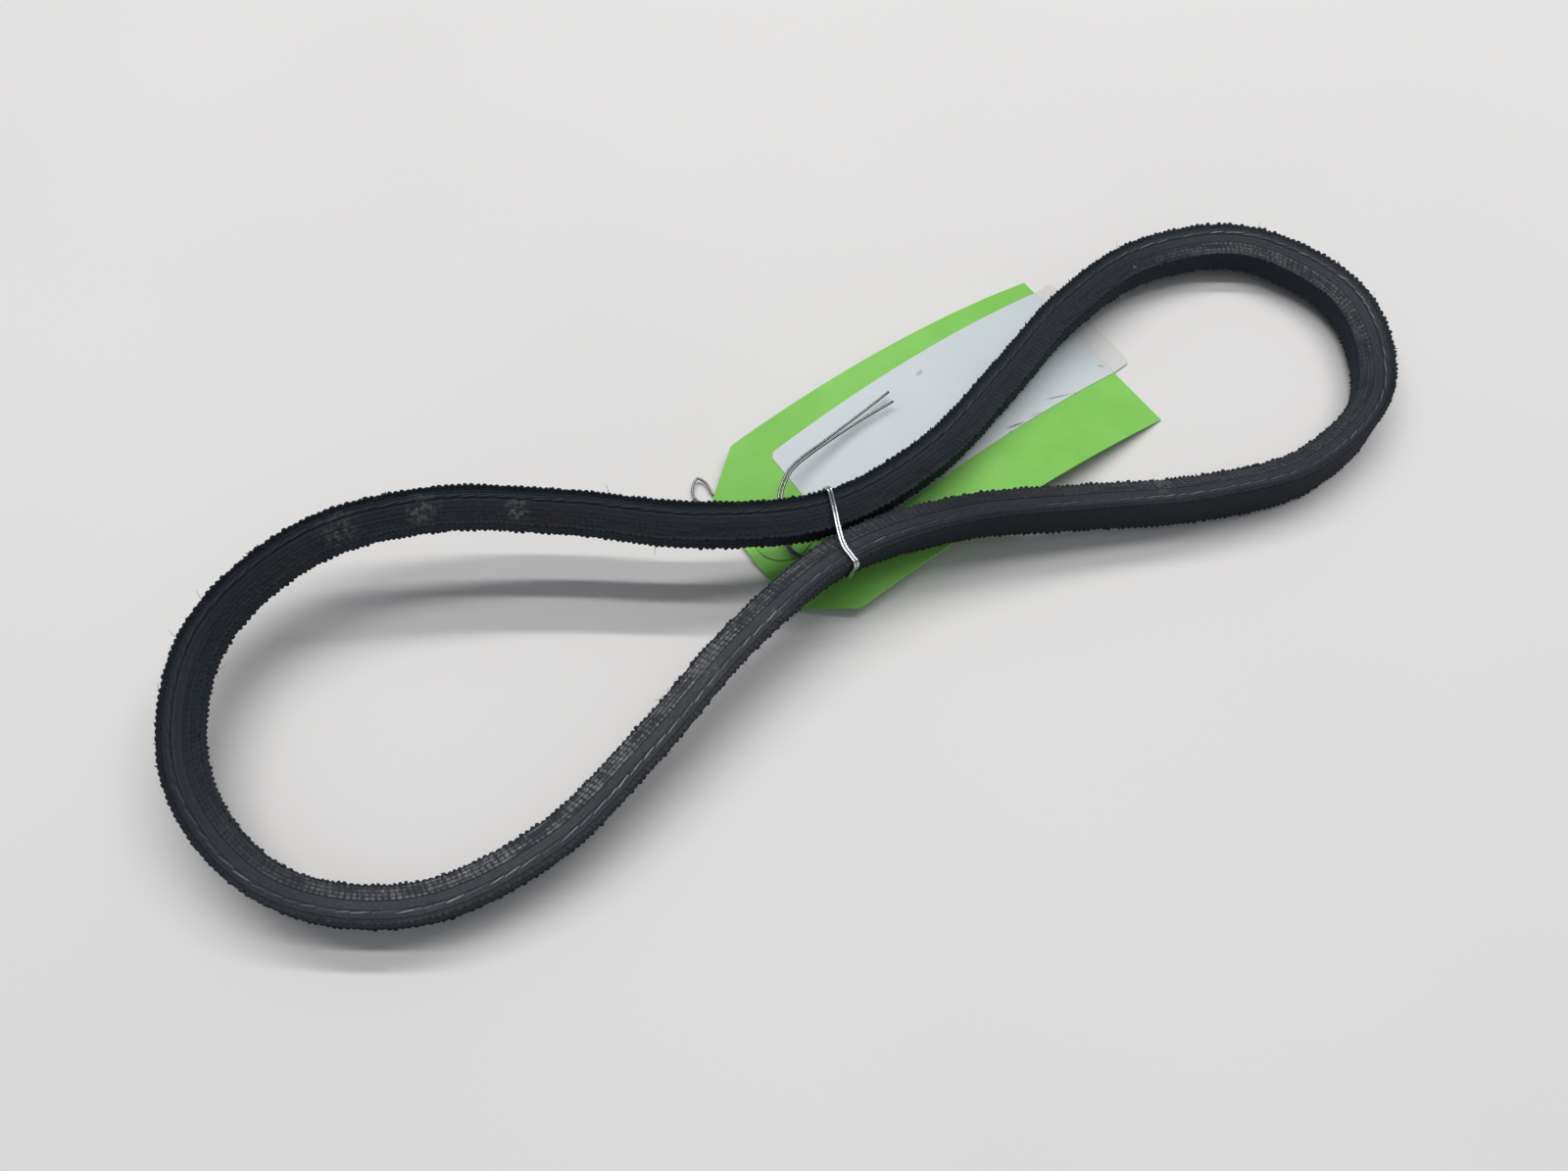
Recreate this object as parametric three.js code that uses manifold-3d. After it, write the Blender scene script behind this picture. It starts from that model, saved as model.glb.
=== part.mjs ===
// Raw-edge V belt, pinched into a figure of eight by the wire of a shipping tag.
// Millimetres, +Z up, the resting surface at z = 0 and the belt's long axis along X.
import * as THREE from 'three';
import { mergeVertices } from 'three/addons/utils/BufferGeometryUtils.js';
import Module from 'manifold-3d';

// Belt section: a V with a 40 degree included angle.
const topWidth = 10.0;
const thickness = 7.0;
const flankAngle = THREE.MathUtils.degToRad(20);
const beltStations = 84;

// Depths of the layer boundaries below the outer face.
const backPlyDepth = 0.45;
const overcordDepth = 0.9;
const upperGumDepth = 1.3;
const cordSpaceTop = 1.6;
const cordSpaceBottom = 2.4;
const undercordDepth = 2.7;
const basePlyDepth = 4.2;
const basePlyCount = 4;
const basePlyThickness = (thickness - basePlyDepth) / basePlyCount;

// Tensile cord, wound side by side across the belt.
const cordDiameter = 0.66;
const cordPitch = 1.15;
const cordTurns = 6.5;

// Shipping tag, 3 3/4 by 1 7/8 inch, bowed along its length.
const tagLength = 95.25;
const tagWidth = 47.63;
const tagThickness = 0.33;
const tagCornerLength = 11.1;
const tagCornerWidth = 8.7;
const tagBow = 6.2;
const tagEndLift = 0.7;
const tagHoleDiameter = 5.0;
const tagHoleInset = 8.5;
const tagAngle = THREE.MathUtils.degToRad(10.65);
const tagEnd = new THREE.Vector3(-17.6, 6.8, 0);
const patchDiameter = 13.0;
const patchThickness = 0.2;

const labelLength = 84.0;
const labelWidth = 28.0;
const labelThickness = 0.12;
const labelStart = 16.4;
const labelOffset = 3.4;
const labelAngle = THREE.MathUtils.degToRad(2.4);
const layerGap = 0.03;
const patchGap = 0.09;

// Moves everything so that the whole part's box is centred on the origin.
const frameShift = new THREE.Vector3(0, -3.4, 0);

const wireDiameter = 0.55;
const wireSides = 6;
const wireSteps = 210;
const wireClear = 0.62;

// The wire is folded in half. Each row is the middle of its two strands and half the gap between them.
const wireTails = [
  [24.5, 26.4, 8.8, -0.1, -1.3, 0],
  [15.2, 24.0, 8.9, 0, -0.62, 0],
  [6.2, 21.5, 9.0, 0.1, -0.32, 0],
  [1.6, 20.2, 9.0, 0.12, -0.31, 0],
  [-2.0, 18.9, 9.0, 0.2, -0.27, 0],
  [-4.6, 17.2, 9.0, 0.26, -0.2, 0],
  [-8.1, 12.7, 8.7, 0.3, -0.15, 0],
  [-7.2, 8.6, 8.7, 0.33, 0.05, 0],
];
const wireUnderTag = [
  [-7.4, -3.2, 7.0, 0.25, 0.2, 0],
  [-10.4, 2.2, 5.6, 0.25, 0.2, 0],
  [-10.0, 6.4, 4.4, 0.32, 0, 0],
  [-9.3, 8.3, 2.4, 0.32, 0, 0],
  [-10.4, 10.4, 0.6, 0.3, 0.1, 0],
  [-14.6, 16.6, 0.36, 0.5, 0.35, 0],
  [-18.6, 21.6, 0.42, 1.0, 0.4, 0],
  [-20.9, 24.4, 0.7, 1.85, 0.1, 0],
  [-20.9, 26.9, 0.9, 1.7, 0.1, 0],
];
const wireFold = new THREE.Vector3(-20.6, 28.9, 1.1);

// The loop's centre line: x, y, height above the table, and the section's lean in degrees.
// A positive lean turns the outer face up, so the top flank tips towards the inside of the loop.
const loopPoints = [
  [-2.1, 2.1, 14.9, 9],
  [-27.5, 8.5, 17.9, 9],
  [-50.6, 20.9, 19.9, 12],
  [-74.2, 31.2, 21.4, 15],
  [-99.9, 35.6, 18.4, 18],
  [-123.4, 25.9, 13.7, 15],
  [-132.7, 2.3, 10.4, 6],
  [-124.4, -22.0, 7.3, -1],
  [-102.2, -35.5, 5.7, -8],
  [-76.2, -35.1, 7.1, -13],
  [-51.8, -25.4, 9.4, -14],
  [-28.4, -13.9, 11.7, -15],
  [-3.3, -6.2, 13.1, -13],
  [22.9, -7.6, 11.9, -7],
  [48.3, -14.3, 9.0, -3],
  [73.5, -21.8, 7.0, 0],
  [99.4, -24.7, 5.7, 2],
  [123.5, -14.9, 5.2, 3],
  [133.2, 8.7, 5.2, 0],
  [120.8, 31.0, 5.5, -3],
  [95.6, 37.1, 6.7, -2],
  [70.4, 30.2, 9.0, 1],
  [47.1, 17.9, 11.4, 3],
  [23.6, 6.6, 13.2, 6],
];
const centreLine = new THREE.CatmullRomCurve3(
  loopPoints.map(([x, y, z]) => new THREE.Vector3(x, y, z)), true, 'catmullrom', 0.5);
const leanLine = new THREE.CatmullRomCurve3(
  loopPoints.map((row) => new THREE.Vector3(row[3], 0, 0)), true, 'catmullrom', 0.5);

const rubberColour = 0x23272d;
const fabricColour = 0x1b1e23;
const cordColour = 0xa8a69c;

// Section axes at a place round the loop, where 0 and 1 are the tie on the far run.
function sectionFrame(place) {
  const at = place - Math.floor(place);
  const tangent = centreLine.getTangent(at);
  const lean = THREE.MathUtils.degToRad(leanLine.getPoint(at).x);
  const upright = new THREE.Vector3(0, 0, 1).addScaledVector(tangent, -tangent.z).normalize();
  const outward = new THREE.Vector3().crossVectors(tangent, upright);
  const across = upright.clone().multiplyScalar(Math.cos(lean)).addScaledVector(outward, -Math.sin(lean));
  const out = outward.clone().multiplyScalar(Math.cos(lean)).addScaledVector(upright, Math.sin(lean));
  return { centre: centreLine.getPoint(at), across, out };
}

// A point of the section: depth below the outer face, and distance across towards the top flank.
function sectionPoint(place, depth, across) {
  const frame = sectionFrame(place);
  return frame.centre
    .addScaledVector(frame.out, thickness / 2 - depth)
    .addScaledVector(frame.across, across);
}

function halfWidth(depth) {
  return topWidth / 2 - depth * Math.tan(flankAngle);
}

function geometryFrom(points, faces) {
  const geometry = new THREE.BufferGeometry();
  geometry.setAttribute('position', new THREE.Float32BufferAttribute(points.flatMap((p) => p.toArray()), 3));
  geometry.setIndex(faces);
  return geometry;
}

// Joins each ring of points to the next; the diagonals all run the same way, so stacked layers meet exactly.
function bridgeRings(faces, ringSize, from, to) {
  for (let side = 0; side < ringSize; side += 1) {
    const next = (side + 1) % ringSize;
    const upper = side === 2;
    const [a, b, c, d] = [from + side, from + next, to + next, to + side];
    if (upper) faces.push(a, b, d, b, c, d);
    else faces.push(a, b, c, a, c, d);
  }
}

// One layer of the belt, between two depths, all the way round the loop.
function beltLayer(outerDepth, innerDepth) {
  const points = [];
  const faces = [];
  for (let i = 0; i < beltStations; i += 1) {
    const place = i / beltStations;
    points.push(
      sectionPoint(place, outerDepth, halfWidth(outerDepth)),
      sectionPoint(place, outerDepth, -halfWidth(outerDepth)),
      sectionPoint(place, innerDepth, -halfWidth(innerDepth)),
      sectionPoint(place, innerDepth, halfWidth(innerDepth)));
    bridgeRings(faces, 4, 4 * i, 4 * ((i + 1) % beltStations));
  }
  return geometryFrom(points, faces);
}

// The cord runs round and round, stepping across the belt by one pitch a turn.
function helicalCord() {
  const sides = 4;
  const steps = Math.round(cordTurns * beltStations);
  const depth = (cordSpaceTop + cordSpaceBottom) / 2;
  const points = [];
  const faces = [];
  for (let i = 0; i <= steps; i += 1) {
    const place = i / beltStations;
    const offset = cordPitch * (cordTurns / 2 - place);
    for (let side = 0; side < sides; side += 1) {
      const turn = (2 * Math.PI * side) / sides;
      const sink = depth - (cordDiameter / 2) * Math.cos(turn);
      points.push(sectionPoint(place, sink, offset - (cordDiameter / 2) * Math.sin(turn)));
    }
    if (i > 0) bridgeRings(faces, sides, sides * (i - 1), sides * i);
  }
  const last = sides * steps;
  faces.push(0, 3, 2, 0, 2, 1);
  faces.push(last, last + 1, last + 2, last, last + 2, last + 3);
  return geometryFrom(points, faces);
}

// Height and slope of the tag's lower face at a distance from its hole end, which lies on the wire.
// Past the far end a sheet on the tag lies flat.
function bowAt(distance) {
  const part = THREE.MathUtils.clamp(distance / tagLength, 0, 1);
  const slope = distance <= tagLength ? (4 * tagBow * (1 - 2 * part) - tagEndLift) / tagLength : 0;
  return { height: 4 * tagBow * part * (1 - part) + tagEndLift * (1 - part), slope };
}

// Bends a flat sheet (x along the tag, y across, z up) over the tag's bow and moves it to the tag's place.
function layOnBow(geometry) {
  const position = geometry.getAttribute('position');
  for (let i = 0; i < position.count; i += 1) {
    const { height, slope } = bowAt(position.getX(i));
    const tilt = Math.hypot(1, slope);
    const lift = position.getZ(i);
    position.setX(i, position.getX(i) - (lift * slope) / tilt);
    position.setZ(i, height + lift / tilt);
  }
  geometry.rotateZ(tagAngle);
  geometry.translate(tagEnd.x, tagEnd.y, tagEnd.z);
  return geometry;
}

// A flat sheet made of strips, so that it can bend: each station is a distance, a left edge and a right edge.
function stripSheet(stations, low, high) {
  const points = [];
  const faces = [];
  stations.forEach(([x, left, right], i) => {
    points.push(
      new THREE.Vector3(x, left, high), new THREE.Vector3(x, right, high),
      new THREE.Vector3(x, right, low), new THREE.Vector3(x, left, low));
    if (i > 0) bridgeRings(faces, 4, 4 * (i - 1), 4 * i);
  });
  const last = 4 * (stations.length - 1);
  faces.push(0, 3, 2, 0, 2, 1);
  faces.push(last, last + 1, last + 2, last, last + 2, last + 3);
  return geometryFrom(points, faces);
}

function toManifold(wasm, geometry) {
  const bare = new THREE.BufferGeometry();
  bare.setAttribute('position', geometry.getAttribute('position'));
  bare.setIndex(geometry.getIndex());
  const welded = mergeVertices(bare, 1e-4);
  const mesh = new wasm.Mesh({
    numProp: 3,
    vertProperties: new Float32Array(welded.getAttribute('position').array),
    triVerts: new Uint32Array(welded.getIndex().array),
  });
  return new wasm.Manifold(mesh);
}

function fromManifold(solid) {
  const mesh = solid.getMesh();
  const geometry = new THREE.BufferGeometry();
  geometry.setAttribute('position', new THREE.BufferAttribute(mesh.vertProperties, 3));
  geometry.setIndex(new THREE.BufferAttribute(mesh.triVerts, 1));
  return geometry;
}

// The card with its two cut corners, cut through at the hole before it is bent.
function tagCard(wasm) {
  const cornerStrips = 4;
  const bodyStrips = 18;
  const stations = [];
  for (let i = -cornerStrips; i <= bodyStrips; i += 1) {
    const run = i < 0 ? tagCornerLength / cornerStrips : (tagLength - tagCornerLength) / bodyStrips;
    const half = tagWidth / 2 + Math.min(0, i / cornerStrips) * tagCornerWidth;
    stations.push([tagCornerLength + run * i, half, -half]);
  }
  const sheet = stripSheet(stations, 0, tagThickness);
  const drill = new THREE.CylinderGeometry(tagHoleDiameter / 2, tagHoleDiameter / 2, 4, 24);
  drill.rotateX(Math.PI / 2);
  drill.translate(tagHoleInset, 0, 0);
  const cut = toManifold(wasm, sheet).subtract(toManifold(wasm, drill));
  return layOnBow(fromManifold(cut));
}

function holePatch(low) {
  const outline = new THREE.Shape();
  outline.absarc(0, 0, patchDiameter / 2, 0, 2 * Math.PI, false);
  const hole = new THREE.Path();
  hole.absarc(0, 0, tagHoleDiameter / 2, 0, 2 * Math.PI, true);
  outline.holes.push(hole);
  const ring = new THREE.ExtrudeGeometry(outline, { depth: patchThickness, bevelEnabled: false, curveSegments: 12 });
  ring.translate(tagHoleInset, 0, low);
  return layOnBow(ring);
}

function tagLabel() {
  const strips = 22;
  const low = tagThickness + layerGap;
  const stations = [];
  for (let i = 0; i <= strips; i += 1) {
    const along = (labelLength * i) / strips;
    const middle = labelOffset + along * Math.tan(labelAngle) - labelWidth * 0.03;
    stations.push([labelStart + along, middle + labelWidth / 2, middle - labelWidth / 2]);
  }
  return layOnBow(stripSheet(stations, low, low + labelThickness));
}

// Guides for the pair of strands: from the free ends, over both runs of the belt and under the tag.
function wireGuides() {
  const far = 0;
  const near = 0.5;
  const side = halfWidth(0) + wireClear;
  const farGap = new THREE.Vector3(0.31, 0.02, 0);
  const nearGap = new THREE.Vector3(0.31, 0, 0);
  const free = ([x, y, z, ...gap]) => ({ at: new THREE.Vector3(x, y, z), gap: new THREE.Vector3(...gap) });
  const over = (place, depth, across, gap) => ({ at: sectionPoint(place, depth, across), gap });
  return [
    ...wireTails.map(free),
    over(far, -wireClear, 1.2 - side, farGap),
    over(far, -wireClear, 0, farGap),
    over(far, -wireClear, side - 0.9, farGap),
    over(far, 0.5, side + 0.2, farGap),
    over(far, 3.2, halfWidth(3.2) + wireClear + 0.1, farGap),
    over(near, 4.4, halfWidth(4.4) + wireClear + 0.6, nearGap),
    over(near, 1.2, halfWidth(1.2) + wireClear + 0.1, nearGap),
    over(near, 0, side, nearGap),
    over(near, -wireClear, side - 0.9, nearGap),
    over(near, -wireClear, 0, nearGap),
    over(near, -wireClear, 1.0 - side, nearGap),
    over(near, 0.4, -side - 0.1, nearGap),
    ...wireUnderTag.map(free),
  ];
}

// One wire: out along the first strand, round the fold and back along the second.
function tieWire() {
  const guides = wireGuides();
  const strand = (sign) => guides.map(({ at, gap }) => at.clone().addScaledVector(gap, sign));
  const points = [...strand(1), wireFold, ...strand(-1).reverse()];
  const path = new THREE.CatmullRomCurve3(points, false, 'centripetal');
  const outline = new THREE.Shape();
  for (let side = 0; side < wireSides; side += 1) {
    const turn = (2 * Math.PI * side) / wireSides;
    const [x, y] = [(wireDiameter / 2) * Math.cos(turn), (wireDiameter / 2) * Math.sin(turn)];
    if (side === 0) outline.moveTo(x, y);
    else outline.lineTo(x, y);
  }
  outline.closePath();
  return new THREE.ExtrudeGeometry(outline, { steps: wireSteps, bevelEnabled: false, extrudePath: path });
}

function named(name, geometry, colour, roughness, metalness) {
  geometry.translate(frameShift.x, frameShift.y, frameShift.z);
  const mesh = new THREE.Mesh(geometry, new THREE.MeshStandardMaterial({ color: colour, roughness, metalness }));
  mesh.name = name;
  return mesh;
}

async function build() {
  const wasm = await Module();
  wasm.setup();
  const belt = new THREE.Group();
  belt.name = 'v_belt';
  const fabric = (name, from, to) => belt.add(named(name, beltLayer(from, to), fabricColour, 0.95, 0));
  const rubber = (name, from, to) => belt.add(named(name, beltLayer(from, to), rubberColour, 0.85, 0));
  fabric('back_ply_outer', 0, backPlyDepth);
  fabric('back_ply_inner', backPlyDepth, overcordDepth);
  rubber('overcord_rubber', overcordDepth, upperGumDepth);
  rubber('adhesion_gum_upper', upperGumDepth, cordSpaceTop);
  belt.add(named('tensile_cord', helicalCord(), cordColour, 0.9, 0));
  rubber('adhesion_gum_lower', cordSpaceBottom, undercordDepth);
  rubber('undercord_rubber', undercordDepth, basePlyDepth);
  for (let i = 0; i < basePlyCount; i += 1) {
    const from = basePlyDepth + i * basePlyThickness;
    fabric(`base_ply_${i + 1}`, from, from + basePlyThickness);
  }
  belt.add(named('tie_wire', tieWire(), 0xb8bcc2, 0.35, 0.9));
  belt.add(named('tag_card', tagCard(wasm), 0x8fce5c, 0.8, 0));
  belt.add(named('hole_patch_upper', holePatch(tagThickness + patchGap), 0x86c556, 0.8, 0));
  belt.add(named('hole_patch_lower', holePatch(-layerGap - patchThickness), 0x86c556, 0.8, 0));
  belt.add(named('tag_label', tagLabel(), 0xe2e6ec, 0.6, 0));
  return belt;
}

export default await build();
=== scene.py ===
"""Looks of a tied, raw-edge V belt with its shipping tag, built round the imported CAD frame."""
import math
from collections import namedtuple

import bpy
import numpy as np
from mathutils import Matrix, Vector


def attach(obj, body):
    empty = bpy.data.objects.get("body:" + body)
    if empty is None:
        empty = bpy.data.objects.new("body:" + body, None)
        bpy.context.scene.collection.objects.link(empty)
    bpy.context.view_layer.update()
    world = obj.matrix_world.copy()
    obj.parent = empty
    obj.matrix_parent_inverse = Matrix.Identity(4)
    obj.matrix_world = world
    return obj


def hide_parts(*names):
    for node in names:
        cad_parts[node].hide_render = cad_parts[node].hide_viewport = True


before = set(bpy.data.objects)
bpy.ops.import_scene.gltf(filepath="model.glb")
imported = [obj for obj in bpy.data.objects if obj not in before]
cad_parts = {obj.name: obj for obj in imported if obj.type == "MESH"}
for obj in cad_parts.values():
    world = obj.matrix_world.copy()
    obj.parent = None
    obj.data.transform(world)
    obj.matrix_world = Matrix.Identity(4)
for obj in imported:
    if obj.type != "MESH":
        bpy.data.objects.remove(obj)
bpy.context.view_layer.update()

MM = 0.001
FRAME_SHIFT = np.array([0.0, -3.4, 0.0])

# ---------------------------------------------------------------- belt shape, as in the CAD (mm)
# depths run inwards from the outer face
TOP_WIDTH = 10.0
THICKNESS = 7.0
FLANK_TAN = math.tan(math.radians(20))
BACK_DEPTH = 0.9
GROOVE_DEPTHS = (1.45, 2.45)
BASE_DEPTH = 4.2
PLY_COUNT = 4

# knots of the cut fabric ends: spacing (mm), spread of heights, place of the peak, roundness
TOOTH_PITCH = 1.16
TOOTH_HEIGHTS = (2.2, 2.0)
TOOTH_PEAK = (0.3, 0.7)
TOOTH_ROUND = 1.35
TOOTH_DRIFT_KNOTS = 90

LENGTH_STEPS = 6000

# stretches rubbed pale, also painted sheen where the flanks catch the light: middle and half length as
# row numbers of LOOP_POINTS, and strength
WEAR_AND_SHEEN_STRETCHES = (
    (9.5, 3.9, 1.0),
    (15.4, 2.8, 0.40),
    (18.6, 2.2, 0.66),
    (21.5, 2.6, 0.12),
)
# over 1, the middle of each stretch is rubbed and painted with sheen evenly
WEAR_AND_SHEEN_CORE = 1.35

# rows round the loop: x, y, z (mm, before FRAME_SHIFT) and lean (degrees; above 0, outer face up)
LOOP_POINTS = np.array([
    [-2.1, 2.1, 14.9, 9],
    [-27.5, 8.5, 17.9, 9],
    [-50.6, 20.9, 19.9, 12],
    [-74.2, 31.2, 21.4, 15],
    [-99.9, 35.6, 18.4, 18],
    [-123.4, 25.9, 13.7, 15],
    [-132.7, 2.3, 10.4, 6],
    [-124.4, -22.0, 7.3, -1],
    [-102.2, -35.5, 5.7, -8],
    [-76.2, -35.1, 7.1, -13],
    [-51.8, -25.4, 9.4, -14],
    [-28.4, -13.9, 11.7, -15],
    [-3.3, -6.2, 13.1, -13],
    [22.9, -7.6, 11.9, -7],
    [48.3, -14.3, 9.0, -3],
    [73.5, -21.8, 7.0, 0],
    [99.4, -24.7, 5.7, 2],
    [123.5, -14.9, 5.2, 3],
    [133.2, 8.7, 5.2, 0],
    [120.8, 31.0, 5.5, -3],
    [95.6, 37.1, 6.7, -2],
    [70.4, 30.2, 9.0, 1],
    [47.1, 17.9, 11.4, 3],
    [23.6, 6.6, 13.2, 6],
])


def catmull(points, place):
    """Closed uniform Catmull-Rom value and slope at places from 0 to 1."""
    count = len(points)
    scaled = (np.asarray(place) % 1.0) * count
    index = np.floor(scaled).astype(int)
    t = (scaled - index)[:, None]
    p0, p1, p2, p3 = (points[(index + k) % count] for k in (-1, 0, 1, 2))
    a = -p0 + p2
    b = 2 * p0 - 5 * p1 + 4 * p2 - p3
    c = -p0 + 3 * p1 - 3 * p2 + p3
    value = 0.5 * (2 * p1 + a * t + b * t ** 2 + c * t ** 3)
    slope = 0.5 * (a + 2 * b * t + 3 * c * t ** 2)
    return value, slope


def even_places(count):
    """Places spaced evenly by length, and the loop's length in mm."""
    fine = np.linspace(0, 1, LENGTH_STEPS, endpoint=False)
    value, _ = catmull(LOOP_POINTS, fine)
    closed = np.vstack([value, value[:1]])[:, :3]
    run = np.concatenate([[0], np.cumsum(np.linalg.norm(np.diff(closed, axis=0), axis=1))])
    wanted = np.linspace(0, run[-1], count, endpoint=False)
    return np.interp(wanted, run, np.append(fine, 1.0)), run[-1]


def frames_at(place):
    """Centre (mm) and the across, outward and lengthwise axes of the section at each place."""
    value, slope = catmull(LOOP_POINTS, place)
    tangent = slope[:, :3] / np.linalg.norm(slope[:, :3], axis=1)[:, None]
    upright = np.array([0, 0, 1.0]) - tangent * tangent[:, 2:3]
    upright /= np.linalg.norm(upright, axis=1)[:, None]
    outward = np.cross(tangent, upright)
    lean = np.radians(value[:, 3])[:, None]
    across = upright * np.cos(lean) - outward * np.sin(lean)
    out = outward * np.cos(lean) + upright * np.sin(lean)
    return value[:, :3] + FRAME_SHIFT, across, out, tangent


def half_width(depth):
    return TOP_WIDTH / 2 - depth * FLANK_TAN


def section_point(place, depth, across):
    """Points at one depth and across of the section, for one place or more (mm)."""
    centre, axis, out, _ = frames_at(np.atleast_1d(np.asarray(place, float)))
    return centre + out * (THICKNESS / 2 - depth) + axis * across


def wear_and_sheen_at(place):
    """How rubbed the belt is at each place, with painted sheen where its flanks catch the light, 0 to
    about 1.
    """
    rows = len(LOOP_POINTS)
    total = np.zeros(len(place))
    for middle, half, strength in WEAR_AND_SHEEN_STRETCHES:
        away = np.abs((place * rows - middle + rows / 2) % rows - rows / 2)
        part = np.clip(WEAR_AND_SHEEN_CORE * (1 - away / half), 0, 1)
        total = np.maximum(total, strength * part * part * (3 - 2 * part))
    return total


# ---------------------------------------------------------------- repeatable noise
class Noise:
    """Smooth periodic random values along the loop."""

    def __init__(self, seed, knots, length):
        self.values = np.random.default_rng(seed).uniform(-1, 1, knots)
        self.knots = knots
        self.length = length

    def at(self, along):
        scaled = (along / self.length) * self.knots
        low = np.floor(scaled).astype(int)
        part = scaled - low
        part = part * part * (3 - 2 * part)
        a = self.values[low % self.knots]
        b = self.values[(low + 1) % self.knots]
        return a + (b - a) * part


def teeth(along, length, seed, wander, rest):
    """Knots, 0 to 1, of cut bias fabric: wander moves them (in pitches), rest is the lowest height."""
    count = int(round(length / TOOTH_PITCH))
    phase = along / length * count + wander * Noise(seed, TOOTH_DRIFT_KNOTS, length).at(along)
    index = np.floor(phase).astype(int) % count
    part = phase - np.floor(phase)
    heights = np.random.default_rng(seed + 1).beta(*TOOTH_HEIGHTS, count) * (1 - rest) + rest
    peak = np.random.default_rng(seed + 2).uniform(*TOOTH_PEAK, count)[index]
    rise = np.where(part < peak, part / peak, (1 - part) / (1 - peak))
    return heights[index] * np.sin(0.5 * math.pi * np.clip(TOOTH_ROUND * rise, 0, 1))


# ---------------------------------------------------------------- mesh helpers
def new_object(name, verts, faces, body, material, smooth=True, attributes=None):
    """A mesh object from points in mm, riding on a CAD body."""
    mesh = bpy.data.meshes.new(name)
    mesh.from_pydata([tuple(v) for v in np.asarray(verts) * MM], [], faces)
    mesh.update()
    if smooth:
        mesh.polygons.foreach_set("use_smooth", np.ones(len(mesh.polygons), dtype=bool))
    for key, values in (attributes or {}).items():
        layer = mesh.attributes.new(key, "FLOAT_VECTOR", "POINT")
        layer.data.foreach_set("vector", np.asarray(values, dtype=np.float32).ravel())
    mesh.materials.append(material)
    piece = bpy.data.objects.new(name, mesh)
    bpy.context.scene.collection.objects.link(piece)
    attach(piece, body)
    return piece


def ring_faces(stations, size):
    """Quads between rings of points, closed both ways."""
    i = np.arange(stations)[:, None]
    j = np.arange(size)[None, :]
    i2 = (i + 1) % stations
    j2 = (j + 1) % size
    quads = np.stack([i * size + j, i * size + j2, i2 * size + j2, i2 * size + j], -1)
    return quads.reshape(-1, 4).tolist()


def belt_ring(name, profile, material):
    """Sweeps a section round the loop; the profile gives depth, across and ridge, stations by points."""
    place, length = even_places(STATIONS)
    along = np.linspace(0, length, STATIONS, endpoint=False)
    # paleness from wear, with painted sheen where the flanks catch the light
    rubbed_and_sheen = wear_and_sheen_at(place)
    depth, across, ridge = profile(along, length, rubbed_and_sheen)
    centre, axis, out, _ = frames_at(place)
    verts = (centre[:, None] + out[:, None] * (THICKNESS / 2 - depth)[..., None]
             + axis[:, None] * across[..., None])
    coords = np.stack([np.broadcast_to(along[:, None], depth.shape), depth, across], -1)
    wear_and_sheen = np.broadcast_to(rubbed_and_sheen[:, None], depth.shape)
    look = np.stack([ridge, wear_and_sheen, np.zeros(depth.shape)], -1)
    faces = ring_faces(STATIONS, depth.shape[1])
    attributes = {"belt": coords.reshape(-1, 3), "look": look.reshape(-1, 3)}
    return new_object(name, verts.reshape(-1, 3), faces, "belt", material, attributes=attributes)


# any direction that no bar starts along
TUBE_ASIDE = (0.3, 0.2, 1.0)


def tube_mesh(path, radius, sides):
    """Verts and faces of a closed round bar along a path; radius is one number or one per point."""
    path = np.asarray(path, float)
    radius = np.broadcast_to(radius, len(path))
    step = np.gradient(path, axis=0)
    step /= np.linalg.norm(step, axis=1)[:, None]
    normal = np.cross(step[0], TUBE_ASIDE)
    rings = []
    for point, direction, size in zip(path, step, radius):
        normal = normal - direction * (normal @ direction)
        normal /= np.linalg.norm(normal)
        side = np.cross(direction, normal)
        turn = np.linspace(0, 2 * math.pi, sides, endpoint=False)
        rings.append(point + size * (np.cos(turn)[:, None] * normal + np.sin(turn)[:, None] * side))
    verts = np.concatenate(rings)
    faces = []
    for i in range(len(path) - 1):
        for j in range(sides):
            k = (j + 1) % sides
            faces.append([i * sides + j, i * sides + k, (i + 1) * sides + k, (i + 1) * sides + j])
    last = (len(path) - 1) * sides
    faces.append(list(range(sides))[::-1])
    faces.append([last + j for j in range(sides)])
    return verts, faces


def blend(t, start, end, first, last):
    """Straight-line value at t, being first at start and last at end."""
    share = (t - start) / (end - start)
    return (1 - share) * first + share * last


def smooth_path(points, per_span):
    """Centripetal Catmull-Rom through open points."""
    points = np.asarray(points, float)
    padded = np.vstack([2 * points[0] - points[1], points, 2 * points[-1] - points[-2]])
    result = []
    for k in range(1, len(padded) - 2):
        p = padded[k - 1:k + 3]
        steps = np.linalg.norm(np.diff(p, axis=0), axis=1) ** 0.5
        k0, k1, k2, k3 = np.concatenate([[0], np.cumsum(steps)])
        for t in np.linspace(k1, k2, per_span, endpoint=False):
            a1 = blend(t, k0, k1, p[0], p[1])
            a2 = blend(t, k1, k2, p[1], p[2])
            a3 = blend(t, k2, k3, p[2], p[3])
            b1 = blend(t, k0, k2, a1, a2)
            b2 = blend(t, k1, k3, a2, a3)
            result.append(blend(t, k1, k2, b1, b2))
    result.append(points[-1])
    return np.array(result)


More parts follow.
